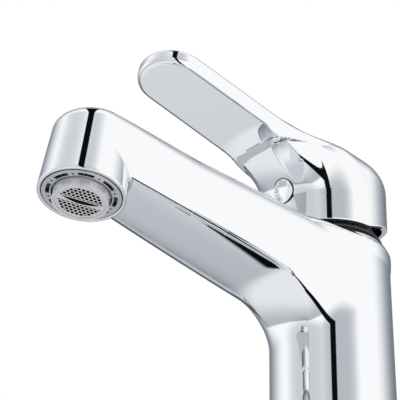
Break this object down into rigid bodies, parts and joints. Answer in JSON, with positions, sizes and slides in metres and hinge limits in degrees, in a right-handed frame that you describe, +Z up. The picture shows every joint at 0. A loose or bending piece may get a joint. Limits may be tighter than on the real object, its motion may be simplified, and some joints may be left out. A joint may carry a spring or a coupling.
{
  "type": "bathroom mixer faucet",
  "caption": "Slim deck-mounted basin mixer: round column, forward spout with a swivelling aerator, and a flat lever that tips for flow and turns for temperature.",
  "frame": {"origin": "centre of the base's underside, on the column's axis at the deck's top face", "axes": "+Z up along the column; the spout and lever point to -Y; +X to the right, the hot and cold inlets lie along X"},
  "size_m": [0.058, 0.1482, 0.218],
  "materials": {
    "chrome_cast": "mirror chrome plating on a brass casting",
    "chrome_lever": "mirror chrome plating on a zinc casting",
    "chrome_plug": "bright chrome on moulded plastic",
    "aerator_ring": "satin turned metal",
    "aerator_plastic": "light grey moulded plastic",
    "mesh_plastic": "pale moulded plastic",
    "dark_plastic": "black moulded plastic",
    "grey_plastic": "grey moulded plastic",
    "white_plastic": "off-white moulded plastic",
    "red_plastic": "red moulded plastic",
    "blue_plastic": "blue moulded plastic",
    "ceramic_disc": "lapped alumina ceramic",
    "seal_rubber": "black moulded rubber",
    "raw_brass": "machined brass",
    "steel": "zinc-plated steel"
  },
  "bodies": {
    "body": {"body_casting": "chrome_cast", "base_ring": "dark_plastic", "base_seal": "seal_rubber", "cartridge_housing": "white_plastic", "inlet_seals": "seal_rubber", "housing_oring": "seal_rubber", "fixed_disc": "ceramic_disc", "retaining_nut": "raw_brass", "cover_ring": "dark_plastic", "aerator_housing": "aerator_ring", "aerator_gasket": "seal_rubber", "mounting_stud": "steel", "horseshoe_washer": "seal_rubber", "horseshoe_plate": "steel", "fixing_nut": "raw_brass"},
    "swivel": {"swivel_carrier": "grey_plastic", "limit_ring": "red_plastic", "pivot_pin": "steel"},
    "lever": {"lever_handle": "chrome_lever", "spindle": "raw_brass", "grub_screw": "steel", "index_plug": "chrome_plug"},
    "disc": {"disc_driver": "grey_plastic", "moving_disc": "ceramic_disc"},
    "aerator_ring": {"aerator_seat": "grey_plastic"},
    "aerator_face": {"aerator_insert": "aerator_plastic", "outlet_mesh": "mesh_plastic", "flow_regulator": "blue_plastic", "inlet_screen": "grey_plastic"}
  },
  "joints": [
    {"name": "temperature_swivel", "type": "hinge", "parent": "body", "child": "swivel", "pos_m": [0, 0, 0.114], "axis": [0, 0, 1], "range_deg": [-50, 50]},
    {"name": "flow_tilt", "type": "hinge", "parent": "swivel", "child": "lever", "pos_m": [0, 0, 0.114], "axis": [-1, 0, 0], "range_deg": [0, 24]},
    {"name": "disc_slide", "type": "slide", "parent": "swivel", "child": "disc", "axis": [0, -1, 0], "range_m": [0, 0.0049]},
    {"name": "aerator_turn", "type": "hinge", "parent": "body", "child": "aerator_ring", "pos_m": [0, -0.111, 0.09794], "axis": [0, 0.1668, 0.986], "continuous": true},
    {"name": "aerator_tilt", "type": "hinge", "parent": "aerator_ring", "child": "aerator_face", "pos_m": [0, -0.111, 0.09794], "axis": [1, 0, 0], "range_deg": [-7, 7]}
  ],
  "couplings": [
    {"joint": "disc_slide", "follows": "flow_tilt", "m_per_rad": 0.0115}
  ]
}
